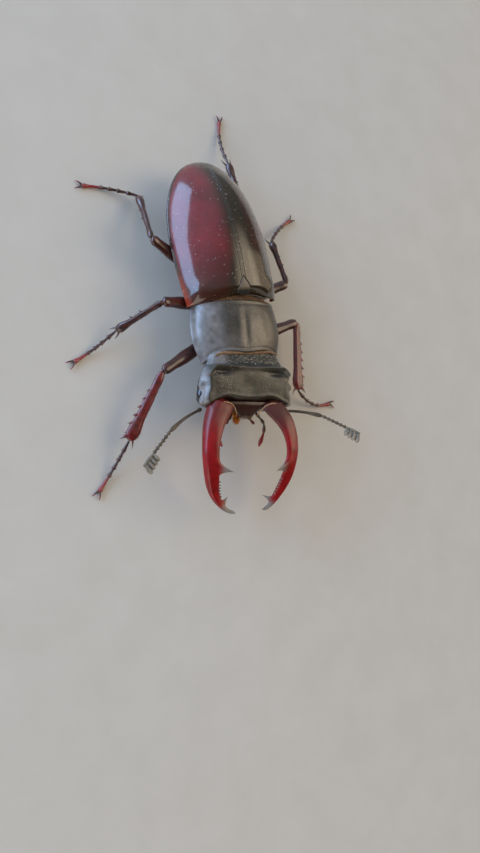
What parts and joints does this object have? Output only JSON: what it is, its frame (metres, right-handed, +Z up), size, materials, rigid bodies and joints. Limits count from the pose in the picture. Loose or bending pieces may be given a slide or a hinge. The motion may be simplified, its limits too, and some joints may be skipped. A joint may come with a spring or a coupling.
{
  "type": "stag beetle figure",
  "caption": "Still, life-size male stag beetle standing on its feet with raised antlered jaws, for display and as scenery",
  "frame": {"origin": "the bottom centre of the whole beetle's box, on the floor it stands on", "axes": "the head and jaws point along -Y, the tail along +Y, the beetle's own left is +X, and +Z is up"},
  "size_m": [0.0618, 0.0882, 0.0152],
  "materials": {
    "elytron": "glossy dark chestnut shell",
    "thorax": "satin olive black shell",
    "head": "finely granular olive black shell",
    "underside": "satin dark brown shell",
    "mandible": "glossy red to dark-tipped horn",
    "leg": "glossy maroon brown",
    "tarsus": "glossy brown with red claws",
    "antenna": "satin dark brown",
    "club": "matt grey brown felt",
    "eye": "glossy black",
    "brush": "golden orange hair"
  },
  "bodies": {
    "root": {"prothorax": "thorax", "pterothorax": "underside", "abdomen": "underside", "elytron_right": "elytron", "elytron_left": "elytron", "scutellum": "thorax", "eye_right": "eye", "eye_left": "eye", "head": "head", "mandible_right": "mandible", "mandible_left": "mandible", "clypeus_labrum": "mandible", "maxilla_right": "brush", "maxillary_palp_right": "antenna", "labial_palp_right": "antenna", "maxilla_left": "brush", "maxillary_palp_left": "antenna", "labial_palp_left": "antenna", "foreleg_right_femur": "leg", "midleg_right_femur": "leg", "hindleg_right_femur": "leg", "foreleg_left_femur": "leg", "midleg_left_femur": "leg", "hindleg_left_femur": "leg", "foreleg_right_coxa": "leg", "foreleg_right_tibia": "leg", "foreleg_right_tarsus": "tarsus", "midleg_right_coxa": "leg", "midleg_right_tibia": "leg", "midleg_right_tarsus": "tarsus", "hindleg_right_coxa": "leg", "hindleg_right_tibia": "leg", "hindleg_right_tarsus": "tarsus", "foreleg_left_coxa": "leg", "foreleg_left_tibia": "leg", "foreleg_left_tarsus": "tarsus", "midleg_left_coxa": "leg", "midleg_left_tibia": "leg", "midleg_left_tarsus": "tarsus", "hindleg_left_coxa": "leg", "hindleg_left_tibia": "leg", "hindleg_left_tarsus": "tarsus", "scape_right": "antenna", "funicle_right": "antenna", "club_right": "club", "scape_left": "antenna", "funicle_left": "antenna", "club_left": "club"}
  },
  "joints": []
}
